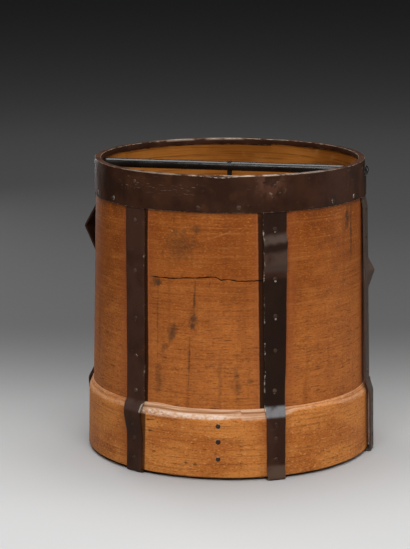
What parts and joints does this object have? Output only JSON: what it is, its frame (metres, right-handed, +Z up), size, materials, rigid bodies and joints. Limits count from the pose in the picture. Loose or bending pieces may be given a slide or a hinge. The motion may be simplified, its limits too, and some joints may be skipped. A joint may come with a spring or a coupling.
{
  "type": "bentwood grain measure",
  "caption": "Bentwood tub measure with a bevelled base hoop, iron rim band, nailed iron straps folded under the foot, and an iron crossbar with a centre rod to the bottom.",
  "frame": {"origin": "on the floor under the centre of the tub", "axes": "+Z up, +X along the crossbar of the mouth, towards its right end in the picture"},
  "size_m": [0.2711, 0.2614, 0.268],
  "materials": {
    "wall_wood": "old satin varnish over orange-brown wood",
    "hoop_wood": "old satin varnish, worn pale along the bevel",
    "board_wood": "bare, dusty, darkened wood",
    "band_iron": "dark brown patina with worn edges",
    "strap_iron": "dark brown patina with worn edges",
    "bar_iron": "black forged iron",
    "nail_iron": "hammered heads, dark brown"
  },
  "bodies": {
    "root": {"body_wall": "wall_wood", "base_hoop": "hoop_wood", "bottom_board_front": "board_wood", "bottom_board_middle": "board_wood", "bottom_board_back": "board_wood", "rim_band": "band_iron", "strap_bar_right": "strap_iron", "strap_back_right": "strap_iron", "strap_back_left": "strap_iron", "strap_bar_left": "strap_iron", "strap_front_left": "strap_iron", "strap_front_right": "strap_iron", "crossbar": "bar_iron", "centre_rod": "bar_iron", "rod_rove": "bar_iron", "strap_nails": "nail_iron", "foot_nails": "nail_iron", "strap_end_nails": "nail_iron", "rim_nails": "nail_iron", "hoop_lap_nails": "nail_iron", "wall_lap_nails": "nail_iron"}
  },
  "joints": []
}
